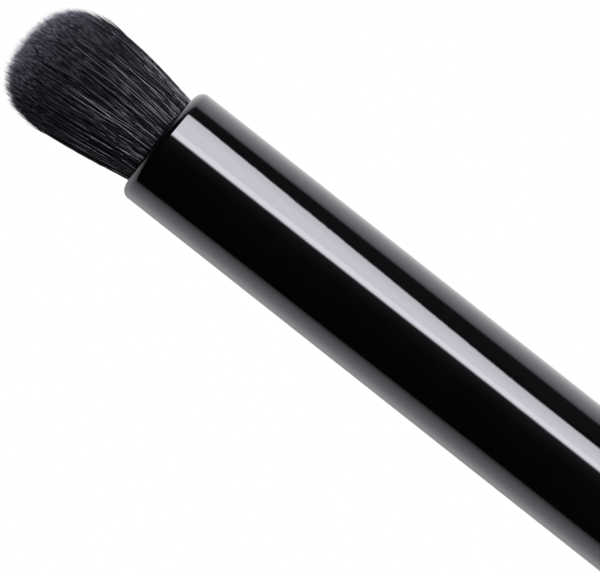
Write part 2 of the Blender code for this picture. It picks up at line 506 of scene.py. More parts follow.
@dataclass(frozen=True)
class Finish:
    """What every finish has: its slot in the record, and the plain values of its shader."""

    slot: str
    colour: Colour
    roughness: float
    metallic: float = 0.0
    ior: float = 1.5
    roughness_spread: float = 0.08

    def material(self) -> bpy.types.Material:
        """Builds the material.

        Returns:
            A Principled material with the finish's own detail wired in.
        """
        made = bpy.data.materials.new(self.slot)
        made.use_nodes = True
        made.diffuse_color = rgba(self.colour)
        coat = Coat(made.node_tree)
        coat.set("Base Color", rgba(self.colour))
        coat.set("Roughness", self.roughness)
        coat.set("Metallic", self.metallic)
        coat.set("IOR", self.ior)
        self.dress(coat)
        return made

    def dress(self, coat: Coat) -> None:
        """Wires the finish's detail into its shader. Each finish has its own."""
        raise NotImplementedError

    def tint(self, coat: Coat, share: Wire, other: Colour) -> None:
        """Lets the plain colour go over to another one, by a share from 0 to 1."""
        coat.set("Base Color", coat.blend(share, rgba(self.colour), rgba(other)))

    def roughen(self, coat: Coat, mask: Wire) -> None:
        """Lets the roughness vary about its plain value, by a mask from 0 to 1."""
        low, high = self.roughness - self.roughness_spread, self.roughness + self.roughness_spread
        coat.set("Roughness", coat.ramp(mask, 0.0, 1.0, low, high))


@dataclass(frozen=True)
class Lacquer(Finish):
    """High gloss black, sprayed over plastic, with the faintest orange peel and hairline marks."""

    peel: Grain = Grain(420.0, 90.0)
    peel_depth: float = 0.000004
    glossiest: float = 0.7
    dullest: float = 1.4
    dust: float = 2.2
    dust_share: float = 0.6
    wear: Wear = Wear(0.012)
    scratch_roughness: float = 0.12
    scratch_depth: float = 0.15

    def dress(self, coat: Coat) -> None:
        """Adds the peel, the patches in the gloss and the hairline marks.

        Args:
            coat: the material's tree.
        """
        peel, scratch = self.peel.on(coat), self.wear.on(coat)
        patches = peel["Patches"]
        least, most = self.roughness * self.glossiest, self.roughness * self.dullest
        gloss = coat.ramp(patches, 0.0, 1.0, least, most)
        coat.set("Roughness", gloss + scratch * self.scratch_roughness)
        self.tint(coat, patches * self.dust_share, shade(self.colour, self.dust))
        coat.emboss(peel["Grain"] - scratch * self.scratch_depth, self.peel_depth)


@dataclass(frozen=True)
class MouldedPlastic(Finish):
    """Matt moulded plastic, with flow marks."""

    grain: Grain = Grain(5200.0, 260.0, seed=3.0)
    grain_depth: float = 0.000012
    wear: Wear = Wear(0.02, height=0.112, scale=1300.0)
    scuff: float = 2.5

    def dress(self, coat: Coat) -> None:
        """Adds the mould's grain and the scuffs of assembly.

        Args:
            coat: the material's tree.
        """
        grain, marks = self.grain.on(coat), self.wear.on(coat)
        self.tint(coat, marks, shade(self.colour, self.scuff))
        self.roughen(coat, grain["Patches"])
        coat.emboss(grain["Grain"], self.grain_depth)


@dataclass(frozen=True)
class TurnedMetal(Finish):
    """Bare metal with the fine rings that its making leaves, and slow stains."""

    roughness_spread: float = 0.1
    stain: Colour = (0.3, 0.28, 0.25)
    stain_share: float = 0.35
    stains: Grain = Grain(3000.0, 340.0, seed=8.0)
    ring_depth: float = 0.000006

    def dress(self, coat: Coat) -> None:
        """Adds the rings and the stains.

        Args:
            coat: the material's tree.
        """
        rings = Effects.place(coat, Effects.turning_rings)["Rings"]
        stains = self.stains.on(coat)["Patches"]
        self.tint(coat, stains * self.stain_share, self.stain)
        self.roughen(coat, rings)
        coat.emboss(rings, self.ring_depth)


@dataclass(frozen=True)
class Foam(Finish):
    """Closed-cell foam, cut through its cells."""

    roughness_spread: float = 0.06
    cell_scale: float = 3400.0
    cell_depth: float = 0.00007
    cell_wall: Step = Step(0.15, 0.6)
    painted_pit_shade: float = 0.35

    def dress(self, coat: Coat) -> None:
        """Adds the cells, with painted shade in their pits.

        Args:
            coat: the material's tree.
        """
        place = coat.object_place()
        cell = coat.take("ShaderNodeTexVoronoi", "Distance", {"Vector": place, "Scale": self.cell_scale})
        wall = self.cell_wall.of(cell)
        # The pits get a darker colour: painted shade in the hollow cells.
        pit = rgba(shade(self.colour, self.painted_pit_shade))
        coat.set("Base Color", coat.blend(wall, pit, rgba(self.colour)))
        self.roughen(coat, wall)
        coat.emboss(wall, self.cell_depth)


@dataclass(frozen=True)
class Epoxy(Finish):
    """Set amber glue, clouded by small bubbles."""

    cloud: Colour = (0.33, 0.18, 0.056)
    clouds: Grain = Grain(2500.0, 600.0, seed=5.0)
    bubble_scale: float = 1900.0
    bubble_depth: float = 0.00004
    bubble_wall: Step = Step(0.1, 0.3)

    def dress(self, coat: Coat) -> None:
        """Adds the bubbles and the cloudiness.

        Args:
            coat: the material's tree.
        """
        place = coat.object_place()
        bubble = coat.take("ShaderNodeTexVoronoi", "Distance", {"Vector": place, "Scale": self.bubble_scale})
        clouds = self.clouds.on(coat)["Patches"]
        self.tint(coat, clouds, self.cloud)
        self.roughen(coat, clouds)
        coat.emboss(self.bubble_wall.of(bubble), self.bubble_depth)


@dataclass(frozen=True)
class Filament(Finish):
    """Synthetic filament: near black, glossy in runs along each strand, with painted light at its fine tip.

    Its gloss is a coat whose weight rises and falls along each strand, so that light catches short lengths of
    single strands and leaves their neighbours dark. The base colour turns paler along the same runs, which
    paints part of each highlight into the colour.
    """

    # pale: a random paler tone, also laid along the gloss runs, so partly painted highlight
    pale: Colour = (0.015, 0.0142, 0.0205)
    pale_share: Step = Step(0.46, 0.86)
    blotch: Step = Step(0.3, 0.7, -0.09, 0.09)
    blotch_scale: float = 900.0
    blotch_stretch: float = 0.3
    brown: Colour = (0.016, 0.011, 0.008)
    brown_share: float = 0.018
    brown_edge: float = 0.01
    # tip: painted light, the pale colour that stands in for the backdrop's light shining through the fine
    # tips
    tip: Colour = (0.395, 0.373, 0.462)
    tip_start: float = 0.972
    tip_least: float = 0.2
    tip_most: float = 1.25
    tip_spread: float = 0.85
    sheen: Colour = (0.82, 0.80, 1.0)
    dullness: float = 0.22
    gloss_ior: float = 1.85
    gloss_roughness: float = 0.30
    gloss_runs: float = 14.0
    gloss_contrast: float = 1.5
    gloss_least: float = 0.05
    gloss_most: float = 0.74
    gloss_fade: Step = Step(0.5, 0.9, 1.0, 0.30)

    def dress(self, coat: Coat) -> None:
        """Adds the change from strand to strand and along each strand, and the painted light at the tip.

        Args:
            coat: the material's tree.
        """
        coat.set("Specular Tint", rgba(self.sheen))
        coat.set("Specular IOR Level", self.dullness)
        coat.set("Coat Roughness", self.gloss_roughness)
        coat.set("Coat IOR", self.gloss_ior)
        chance = coat.take("ShaderNodeAttribute", "Fac", attribute_name=FilamentTree.CHANCE)
        along = coat.take("ShaderNodeAttribute", "Fac", attribute_name=FilamentTree.ALONG)
        place = coat.object_place()
        stretched = coat.vector("MULTIPLY", place, (1.0, 1.0, self.blotch_stretch))
        blotch = self.blotch.of(coat.noise(stretched, self.blotch_scale))
        run = coat.noise(coat.join(Draw.RUN_LANE.of(chance), 0.0, along * self.gloss_runs), 1.0)
        # The base colour turns pale at random from strand to strand and, with the gloss, along each run:
        # partly a real tone, partly painted highlight.
        light = self.pale_share.of(Draw.LIGHT.share(chance) + blotch + (run - 0.5) * self.gloss_contrast)
        body = coat.blend(light, rgba(self.colour), rgba(self.pale))
        brown_from = 1.0 - self.brown_share
        is_brown = coat.ramp(chance, brown_from, brown_from + self.brown_edge)
        browned = coat.blend(is_brown, body, rgba(self.brown))
        # Painted light at the tip: the fine tips turn pale, standing in for the backdrop's light shining
        # through them.
        own_tip = self.tip_least + (1.0 - self.tip_least) * Draw.TIP.share(chance)
        wear_and_tip_light = coat.ramp(along, self.tip_start, 1.0) * own_tip * (self.tip_most - self.tip_spread * chance)
        coat.set("Base Color", coat.blend(wear_and_tip_light, browned, rgba(self.tip)))
        gloss = (light * self.gloss_most + self.gloss_least) * self.gloss_fade.of(along)
        coat.set("Coat Weight", gloss)
        self.roughen(coat, Draw.SHINE.share(chance))


# Turned pieces


@dataclass(frozen=True)
class Corner:
    """A corner of a turned piece's outline, and how it is rounded."""

    radius: float
    height: float
    rounding: float = 0.0
    steps: int = 3


def rounded_outline(corners: Sequence[Corner], closed: bool) -> Outline:
    """Rounds the corners of an outline, and adds a guard point beside each rounding.

    The guard points keep the shading of the straight walls straight up to the rounding. They stand off it by
    GUARD_SHARE of its radius.

    Args:
        corners: the outline's corners in order.
        closed: whether the last corner joins the first.

    Returns:
        Points as (radius, height).
    """
    points: list[Vector] = []
    count = len(corners)
    for index, corner in enumerate(corners):
        here = Vector((corner.radius, corner.height))
        at_end = not closed and index in (0, count - 1)
        if at_end or corner.rounding <= 0.0:
            points.append(here)
            continue
        before, after = corners[index - 1], corners[(index + 1) % count]
        to_before = (Vector((before.radius, before.height)) - here).normalized()
        to_after = (Vector((after.radius, after.height)) - here).normalized()
        half = math.acos(max(-1.0, min(1.0, to_before.dot(to_after)))) / 2
        reach = corner.rounding / math.tan(half)
        middle = here + (to_before + to_after).normalized() * corner.rounding / math.sin(half)
        start, end = here + to_before * reach, here + to_after * reach
        guard = corner.rounding * GUARD_SHARE
        points.append(start + to_before * guard)
        for step in range(corner.steps + 1):
            share = step / corner.steps
            spoke = (start - middle).normalized().slerp((end - middle).normalized(), share)
            points.append(middle + spoke * corner.rounding)
        points.append(end + to_after * guard)
    if closed:
        points.append(points[0].copy())
    return [(point.x, point.y) for point in points]


class Lathe:
    """Turns outlines into pieces of revolution, with one Geometry Nodes tree for them all."""

    STEPS = 160
    MERGE = 1e-6
    tree: bpy.types.NodeTree | None = None

    @classmethod
    def build_tree(cls) -> bpy.types.NodeTree:
        """Builds the tree that sweeps an outline round Z.

        The outline comes in as a mesh of points in order, each at (radius, 0, height). A grid has one row for
        each point and one column for each step of the turn, and its points are moved into place.

        Returns:
            The tree: the outline, Steps and Material in, the closed smooth mesh out.
        """
        board = GroupBoard("turned_piece", TreeKind.GEOMETRY)
        outline = board.inlet("Outline", Plug.GEOMETRY)
        steps = board.inlet("Steps", Plug.COUNT, cls.STEPS)
        rows = board.take("GeometryNodeAttributeDomainSize", "Point Count", {"Geometry": outline})
        grid = board.take("GeometryNodeMeshGrid", "Mesh", {"Vertices X": steps + 1, "Vertices Y": rows})
        index = board.take("GeometryNodeInputIndex", "Index")
        column = board.math("FLOOR", index / rows)
        feeds = {
            "Geometry": outline,
            "Value": board.take("GeometryNodeInputPosition", "Position"),
            "Index": index - column * rows,
        }
        point = board.take("GeometryNodeSampleIndex", "Value", feeds, data_type="FLOAT_VECTOR")
        radius, _, height = board.split(point)
        turn = column / steps * math.tau
        place = board.join(radius * board.math("COSINE", turn), radius * board.math("SINE", turn), height)
        swept = board.geometry("SetPosition", {"Geometry": grid, "Position": place})
        feeds = {"Geometry": swept, "Distance": cls.MERGE}
        board.end_mesh(board.geometry("MergeByDistance", feeds))
        return board.tree

    @classmethod
    def turn(cls, name: str, outline: Outline, finish: bpy.types.Material) -> bpy.types.Object:
        """Turns one outline.

        Args:
            name: the piece's name.
            outline: points as (radius, height).
            finish: its material.

        Returns:
            The piece, with a plain mesh whose faces point outwards.
        """
        if cls.tree is None:
            cls.tree = cls.build_tree()
        data = bpy.data.meshes.new(name)
        points = [(radius, 0.0, height) for radius, height in outline]
        data.from_pydata(points, [(i, i + 1) for i in range(len(points) - 1)], [])
        piece = link_object(name, data)
        run_nodes(piece, cls.tree, {"Steps": cls.STEPS, "Material": finish})
        shell = bmesh.new()
        shell.from_mesh(piece.data)
        bmesh.ops.recalc_face_normals(shell, faces=shell.faces)
        shell.to_mesh(piece.data)
        shell.free()
        return piece


def link_object(name: str, data: bpy.types.ID) -> bpy.types.Object:
    """Adds an object at the origin, unturned and unscaled.

    Args:
        name: its name.
        data: its mesh, lamp or camera.

    Returns:
        The object.
    """
    made = bpy.data.objects.new(name, data)
    bpy.context.scene.collection.objects.link(made)
    return made


def run_nodes(piece: bpy.types.Object, tree: bpy.types.NodeTree, values: dict[str, Any]) -> None:
    """Runs a Geometry Nodes tree on an object and keeps the result as its plain mesh.

    Args:
        piece: the object.
        tree: the tree.
        values: its named inputs.
    """
    modifier = piece.modifiers.new(tree.name, "NODES")
    modifier.node_group = tree
    inputs = [item for item in tree.interface.items_tree if item.in_out == "INPUT"]
    identifiers = {item.name: item.identifier for item in inputs}
    for name, value in values.items():
        modifier[identifiers[name]] = value
    bpy.context.view_layer.update()
    depsgraph = bpy.context.evaluated_depsgraph_get()
    result = bpy.data.meshes.new_from_object(
        piece.evaluated_get(depsgraph), preserve_all_data_layers=True, depsgraph=depsgraph
    )
    piece.modifiers.clear()
    old = piece.data
    piece.data = result
    result.name = piece.name
    bpy.data.meshes.remove(old)


def hand_over(piece: bpy.types.Object, slot: str, *nodes: str) -> None:
    """Makes a piece ride on the brush, hides the CAD nodes that it replaces, and reports it.

    Args:
        piece: the finished piece.
        slot: the record's material slot; not used.
        nodes: the CAD nodes that it stands for.
    """
    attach(piece, "root")
    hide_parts(*nodes)
    triangles = sum(len(face.vertices) - 2 for face in piece.data.polygons)
    heights = [corner[2] / MM for corner in piece.bound_box]
    log.info("%s: %d triangles, %.2f to %.2f mm up", piece.name, triangles, min(heights), max(heights))


# The brush's own pieces


@dataclass
class Barrel:
    """The gloss black outer tube, rounded at the mouth."""

    radius: float = 0.0045
    bore: float = 0.0036
    foot: float = 0.00335
    mouth: float = 0.128
    lip_rounding: float = 0.00066
    mouth_easing: float = 0.00012
    seam_rounding: float = 0.00012
    bore_rounding: float = 0.00006
    groove_radius: float = 0.0038
    groove_low: float = 0.00555
    groove_high: float = 0.00685
    groove_rounding: float = 0.00005

    def outline(self) -> Outline:
        """The outline of the tube's wall, with the groove for the cap's snap bead.

        Returns:
            Points as (radius, height).
        """
        slope = self.groove_radius - self.bore
        corners = [
            Corner(self.bore, self.foot, self.bore_rounding),
            Corner(self.radius, self.foot, self.seam_rounding, steps=5),
            Corner(self.radius, self.mouth, self.lip_rounding, steps=22),
            Corner(self.bore, self.mouth, self.mouth_easing, steps=8),
            Corner(self.bore, self.groove_high, self.groove_rounding),
            Corner(self.groove_radius, self.groove_high - slope, self.groove_rounding),
            Corner(self.groove_radius, self.groove_low + slope, self.groove_rounding),
            Corner(self.bore, self.groove_low, self.groove_rounding),
        ]
        return rounded_outline(corners, closed=True)

    def build(self, finish: Finish) -> None:
        """Makes the barrel in that finish."""
        piece = Lathe.turn("barrel_shell", self.outline(), finish.material())
        hand_over(piece, finish.slot, "barrel")


@dataclass
class TailCap:
    """The plug that closes the tail: a rounded head, and a hollow spigot with a snap bead."""

    radius: float = 0.0045
    head: float = 0.0032
    foot_rounding: float = 0.0008
    seam_rounding: float = 0.00012
    spigot_radius: float = 0.00345
    spigot_top: float = 0.0092
    spigot_rounding: float = 0.0003
    bead_radius: float = 0.00365
    bead_middle: float = 0.0062
    bead_length: float = 0.0010
    bead_rounding: float = 0.00005
    pit_radius: float = 0.0022
    pit_floor: float = 0.0046
    pit_rounding: float = 0.0001
    gate_radius: float = 0.0007
    gate_depth: float = 0.00012
    gate_slope: float = 0.00006
    gate_rounding: float = 0.00004

    def outline(self) -> Outline:
        """The outline from the gate mark under the foot, round the outside, to the pit in the spigot.

        Returns:
            Points as (radius, height).
        """
        rise = self.bead_radius - self.spigot_radius
        low, high = self.bead_middle - self.bead_length / 2, self.bead_middle + self.bead_length / 2
        corners = [
            Corner(0.0, self.gate_depth),
            Corner(self.gate_radius, self.gate_depth, self.gate_rounding),
            Corner(self.gate_radius + self.gate_slope, 0.0, self.gate_rounding),
            Corner(self.radius, 0.0, self.foot_rounding, steps=16),
            Corner(self.radius, self.head, self.seam_rounding, steps=5),
            Corner(self.spigot_radius, self.head, self.bead_rounding),
            Corner(self.spigot_radius, low, self.bead_rounding),
            Corner(self.bead_radius, low + rise, self.bead_rounding),
            Corner(self.bead_radius, high - rise, self.bead_rounding),
            Corner(self.spigot_radius, high, self.bead_rounding),
            Corner(self.spigot_radius, self.spigot_top, self.spigot_rounding, steps=5),
            Corner(self.pit_radius, self.spigot_top, self.pit_rounding),
            Corner(self.pit_radius, self.pit_floor, self.pit_rounding),
            Corner(0.0, self.pit_floor),
        ]
        return rounded_outline(corners, closed=False)

    def build(self, finish: Finish) -> None:
        """Makes the cap in that finish."""
        piece = Lathe.turn("tail_plug", self.outline(), finish.material())
        hand_over(piece, finish.slot, "tail_cap")


@dataclass
class RattlePad:
    """The foam plug below the weight, squeezed between it and the cap so that its side bulges."""

    radius: float = 0.00205
    waist: float = 0.00193
    foot: float = 0.00475
    top: float = 0.01195
    edge: float = 0.00025
    guard: float = 1.6
    bulge_power: float = 0.6
    rows: int = 16

    def outline(self) -> Outline:
        """The outline from the foot's middle to the top's middle.

        Returns:
            Points as (radius, height).
        """
        low, high = self.foot + self.edge, self.top - self.edge
        flat, held = self.waist - self.edge, self.waist - self.edge * self.guard
        outline = [(0.0, self.foot), (held, self.foot), (flat, self.foot)]
        for row in range(self.rows + 1):
            share = row / self.rows
            bulge = math.sin(math.pi * share) ** self.bulge_power
            outline.append((self.waist + (self.radius - self.waist) * bulge, low + (high - low) * share))
        outline += [(flat, self.top), (held, self.top), (0.0, self.top)]
        return outline

    def build(self, finish: Finish) -> None:
        """Makes the pad in that finish.

        Args:
            finish: the foam.
        """
        piece = Lathe.turn("pad_foam_plug", self.outline(), finish.material())
        hand_over(piece, finish.slot, "rattle_pad")


@dataclass(frozen=True)
class Growth:
    """The sizes of the filaments, each of them an input of the tree that grows them.

    Disorder, crossing, waviness, stray reach and splay are shares of the tuft's radius.
    """

    filament_radius: float = 0.000033
    rim: float = 0.126
    mouth: float = 0.128
    root_radius: float = 0.00307
    mouth_radius: float = 0.00345
    belly_radius: float = 0.00438
    belly_height: float = 0.0071
    flare_ease: float = 0.5
    dome_height: float = 0.00494
    dome_power: float = 2.7
    tuck: float = 0.03
    length_scatter: float = 0.00088
    lean: float = 0.00039
    lean_power: float = 2.0
    disorder: float = 0.010
    crossing: float = 0.22
    clumping: float = 0.04
    waviness: float = 0.002
    shared_waviness: float = 0.002
    stray_share: float = 0.025
    stray_reach: float = 0.12
    splay: float = 0.09
    twist: float = 3.0


class Lot(Enum):
    """What is drawn at random for each strand, with the number that its draw adds to the seed."""

    GRIP = 3
    STRAY = 5
    DRIFT = 6
    CROSSING = 9
    CHANCE = 11


class FilamentTree:
    """The Geometry Nodes tree that grows one zone of filaments.

    Each filament has a home on a disc, as a share of the tuft's radius. On its way up it slants a little from
    there, and where that would take it out of the tuft it lies along the surface. Towards the tips the
    neighbours draw together a little, the outer ones splay, and a few stray.
    """

    CHANCE = "strand_chance"
    ALONG = "strand_along"

    RING_EASE = 1.3
    CLUMP_DISORDER = 0.02
    CLUMP_SEED = 5
    UNCROSSED_AT = 0.3
    WIDEST_SHARE = 0.999
    SCATTER_POWER = 0.6
    GRIPPED = Step(0.70, 1.0)
    GRIP_LEAST = 0.55
    GRIP_SPREAD = 0.6
    OWN_WAVES = 420.0
    SHARED_WAVES = 90.0
    SHARED_PATCHES = 12.0
    ROOT_WAVINESS = 0.2
    STRAYED = Step(0.1, 1.0)
    UNSTRAYED_AT = 0.35
    SPLAYED = Step(0.65, 1.0)
    BELOW_TOP = Step(0.12, 0.40)
    UNSPLAYED = 0.4
    SURFACE_SHARE = 0.985
    SURFACE_SPREAD = 0.03
    SURFACE_SPLAY = 0.5
    TAPERED = Step(0.80, 0.98, 1.0, 0.45)
    POINTED = Step(0.95, 1.0, 1.0, 0.4)
    THINNEST = 0.75
    THICKNESS_SPREAD = 0.5
    TWISTS = 6.0
    SIDES = 3

    def __init__(self, growth: Growth) -> None:
        """Starts the tree, with an input for each size and the values that its parts share.

        Args:
            growth: the sizes, which become the inputs' plain values.
        """
        board = GroupBoard("tuft_filaments", TreeKind.GEOMETRY)
        sizes = asdict(growth).items()
        self.board = board
        self.size = SimpleNamespace(
            **{name: board.inlet(input_name(name), Plug.NUMBER, value) for name, value in sizes}
        )
        self.seed = board.inlet("Seed", Plug.COUNT, 0)
        self.position = board.take("GeometryNodeInputPosition", "Position")
        self.strand = board.take("GeometryNodeCurveOfPoint", "Curve Index")
        home_x, home_y, step = board.split(self.position)
        self.home = board.join(home_x, home_y, 0.0)
        self.chance = self.draw(Lot.CHANCE)
        self.along = 1.0 - (1.0 - step) ** self.RING_EASE

    def draw(self, lot: Lot) -> Wire:
        """A random value from 0 to 1 for each strand."""
        feeds = {"Seed": self.seed + lot.value, "ID": self.strand}
        return self.board.take("FunctionNodeRandomValue", "Value", feeds)

    def scatter(self, size: Feed, seed: Feed, identity: Feed = None) -> Wire:
        """A random vector in the plane of the disc, up to that size each way.

        Args:
            size: the most that it is each way.
            seed: the seed.
            identity: what has a vector of its own, each point unless it is given.

        Returns:
            The vector.
        """
        feeds = {"Min": (-1.0, -1.0, 0.0), "Max": (1.0, 1.0, 0.0), "Seed": seed, "ID": identity}
        free = self.board.take("FunctionNodeRandomValue", "Value", feeds, data_type="FLOAT_VECTOR")
        return self.board.scaled(free, size)

    def sway(self, place: Wire, size: Wire) -> Wire:
        """A vector that changes smoothly from place to place, up to about that size each way.

        Args:
            place: the place.
            size: about the most that it is each way.

        Returns:
            The vector.
        """
        board = self.board
        noise = board.vector("SUBTRACT", board.noise(place, 1.0, detail=1.0, output="Color"), (0.5, 0.5, 0.5))
        return board.scaled(noise, size * 2.0)

    def sunflower(self, first: Feed, last: Feed, count: Wire, jitter: Feed, seed: Feed) -> Wire:
        """Points spread evenly over a ring of a disc of radius 1, with a little disorder.

        Args:
            first: the ring's inner share.
            last: its outer share.
            count: how many points there are.
            jitter: how far a point may be off its place.
            seed: the seed of the disorder.

        Returns:
            The points.
        """
        board = self.board
        index = board.take("GeometryNodeInputIndex", "Index")
        low, high = first * first, last * last
        share = board.math("SQRT", (index + 0.5) / count * (high - low) + low)
        turn = index * GOLDEN_TURN
        place = board.join(share * board.math("COSINE", turn), share * board.math("SINE", turn), 0.0)
        moved = board.vector("ADD", place, self.scatter(jitter, seed))
        return board.take("GeometryNodePoints", "Points", {"Count": count, "Position": moved})

    def strands(self) -> Wire:
        """Straight strands of points, one on each home, from height 0 to 1.

        Returns:
            The strands, as curves.
        """
        board = self.board
        first = board.inlet("Inner Share", Plug.NUMBER, 0.0)
        last = board.inlet("Outer Share", Plug.NUMBER, 1.0)
        count = board.inlet("Count", Plug.COUNT, 100)
        rings = board.inlet("Rings", Plug.COUNT, 9)
        homes = self.sunflower(first, last, count, self.size.disorder, self.seed)
        line = board.take("GeometryNodeCurvePrimitiveLine", "Curve", {"Start": (0, 0, 0), "End": (0, 0, 1)})
        blank = board.take("GeometryNodeResampleCurve", "Curve", {"Curve": line, "Count": rings})
        placed = board.take("GeometryNodeInstanceOnPoints", "Instances", {"Points": homes, "Instance": blank})
        return board.geometry("RealizeInstances", {"Geometry": placed})

    def clump_centre(self) -> Wire:
        """The middle of the clump that a strand belongs to.

        Returns:
            The place of the nearest clump's middle.
        """
        board = self.board
        clumps = board.inlet("Clumps", Plug.COUNT, 100)
        centres = self.sunflower(0.0, 1.0, clumps, self.CLUMP_DISORDER, self.CLUMP_SEED)
        feeds = {"Geometry": centres, "Sample Position": self.home}
        clump = board.take("GeometryNodeSampleNearest", "Index", feeds)
        feeds = {"Geometry": centres, "Value": self.position, "Index": clump}
        return board.take("GeometryNodeSampleIndex", "Value", feeds, data_type="FLOAT_VECTOR")

    def radius(self, height: Wire) -> Wire:
        """The tuft's radius at a height: it widens in the mouth, and flares from there to the belly.

        Args:
            height: the height.

        Returns:
            The radius.
        """
        board, size = self.board, self.size
        packed = board.math("DIVIDE", height - size.rim, size.mouth - size.rim, clamp=True)
        risen = board.math("DIVIDE", height - size.mouth, size.belly_height, clamp=True)
        flare = risen + (board.math("SINE", risen * (math.pi / 2)) - risen) * size.flare_ease
        return (
            size.root_radius
            + (size.mouth_radius - size.root_radius) * packed
            + (size.belly_radius - size.mouth_radius) * flare
        )

    def cross_section(self, height: Wire, crossing: Wire, fall: Wire) -> Wire:
        """Where a strand is in the tuft's cross-section, as shares of the tuft's radius.

        Args:
            height: how high the point is.
            crossing: how far its strand slants across.
            fall: how high its strand ends in the dome, from 0 at the belly to 1 at the top.

        Returns:
            The place, in the plane of the disc.
        """
        board, size, chance, along = self.board, self.size, self.chance, self.along
        aimed = board.vector("ADD", self.home, board.scaled(crossing, along - self.UNCROSSED_AT))
        uneven = self.GRIP_LEAST + self.GRIP_SPREAD * self.draw(Lot.GRIP)
        grip = size.clumping * self.GRIPPED.of(along) * uneven
        to_centre = board.vector("SUBTRACT", self.clump_centre(), aimed)
        pulled = board.vector("ADD", aimed, board.scaled(to_centre, grip))

        free = board.ramp(height, size.mouth, size.mouth + size.belly_height)
        own_place = board.join(Draw.WAVE_LANE.of(chance), 0.0, height * self.OWN_WAVES)
        patch = board.scaled(self.home, self.SHARED_PATCHES)
        shared_place = board.vector("ADD", patch, board.join(0.0, 0.0, height * self.SHARED_WAVES))
        own, shared = self.sway(own_place, size.waviness), self.sway(shared_place, size.shared_waviness)
        waviness = self.ROOT_WAVINESS + (1.0 - self.ROOT_WAVINESS) * free
        wave = board.scaled(board.vector("ADD", own, shared), waviness)

        is_stray = board.math("LESS_THAN", self.draw(Lot.STRAY), size.stray_share)
        drift = self.scatter(size.stray_reach, self.seed + Lot.DRIFT.value, self.strand)
        strayed = board.scaled(drift, is_stray * (self.STRAYED.of(along) - self.UNSTRAYED_AT))

        splay = size.splay * self.SPLAYED.of(along) * self.BELOW_TOP.of(fall)
        own_splay = Draw.SPLAY.share(chance)
        loose = board.scaled(board.vector("ADD", pulled, wave), 1.0 + splay * (own_splay - self.UNSPLAYED))
        surface = self.SURFACE_SHARE + self.SURFACE_SPREAD * chance + splay * self.SURFACE_SPLAY * own_splay
        kept_in = board.math("MINIMUM", 1.0, surface / board.length(loose))
        return board.vector("ADD", board.scaled(loose, kept_in), strayed)

    def place(self) -> Wire:
        """Where each point of a strand goes.

        Returns:
            The place.
        """
        board, size = self.board, self.size
        crossing = self.scatter(size.crossing, self.seed + Lot.CROSSING.value, self.strand)
        end_place = board.vector("ADD", self.home, board.scaled(crossing, 1.0 - self.UNCROSSED_AT))
        tip_share = board.math("MINIMUM", board.length(end_place) * (1.0 - size.tuck), self.WIDEST_SHARE)
        fall = (1.0 - tip_share**size.dome_power) ** board.math("DIVIDE", 1.0, size.dome_power)
        dome = size.mouth + size.belly_height + size.dome_height * fall
        end = dome - size.length_scatter * self.chance**self.SCATTER_POWER
        height = size.rim + (end - size.rim) * self.along
        tip_height = size.belly_height + size.dome_height
        leaning = board.math("DIVIDE", height - size.mouth, tip_height, clamp=True) ** size.lean_power
        x, y, _ = board.split(self.cross_section(height, crossing, fall))
        radius = self.radius(height)
        return board.join(x * radius - size.lean * leaning, y * radius, height)

    def thicken(self, grown: Wire) -> Wire:
        """Gives the strands their thickness: tapered, pointed and twisted, with closed ends.

        Args:
            grown: the strands, each point in its place.

        Returns:
            The mesh.
        """
        board, size = self.board, self.size
        chance = board.take("GeometryNodeInputNamedAttribute", "Attribute", {"Name": self.CHANCE})
        along = board.take("GeometryNodeInputNamedAttribute", "Attribute", {"Name": self.ALONG})
        taper = self.TAPERED.of(along) * self.POINTED.of(along)
        thick = taper * (self.THINNEST + self.THICKNESS_SPREAD * chance)
        twist_place = board.join(Draw.RUN_LANE.of(chance), 0.0, along * self.TWISTS)
        tilt = Draw.TILT.of(chance) + size.twist * board.noise(twist_place, 1.0, detail=1.0)
        tilted = board.take("GeometryNodeSetCurveTilt", "Curve", {"Curve": grown, "Tilt": tilt})
        feeds = {"Resolution": self.SIDES, "Radius": size.filament_radius}
        profile = board.take("GeometryNodeCurvePrimitiveCircle", "Curve", feeds)
        feeds = {"Curve": tilted, "Profile Curve": profile, "Scale": thick, "Fill Caps": True}
        return board.take("GeometryNodeCurveToMesh", "Mesh", feeds)

    def build(self) -> bpy.types.NodeTree:
        """Wires the tree.

        Returns:
            The tree: the sizes, the zone's shares, its counts, Seed and Material in, the mesh out.
        """
        board = self.board
        marked = self.strands()
        for name, value in ((self.CHANCE, self.chance), (self.ALONG, self.along)):
            feeds = {"Geometry": marked, "Name": name, "Value": value}
            marked = board.geometry("StoreNamedAttribute", feeds)
        feeds = {"Geometry": marked, "Position": self.place()}
        board.end_mesh(self.thicken(board.geometry("SetPosition", feeds)))
        return board.tree


@dataclass(frozen=True)
class Zone:
    """A ring of the tuft, from one share of its radius to another, made as one piece."""

    name: str
    inner: float
    outer: float
    rings: int


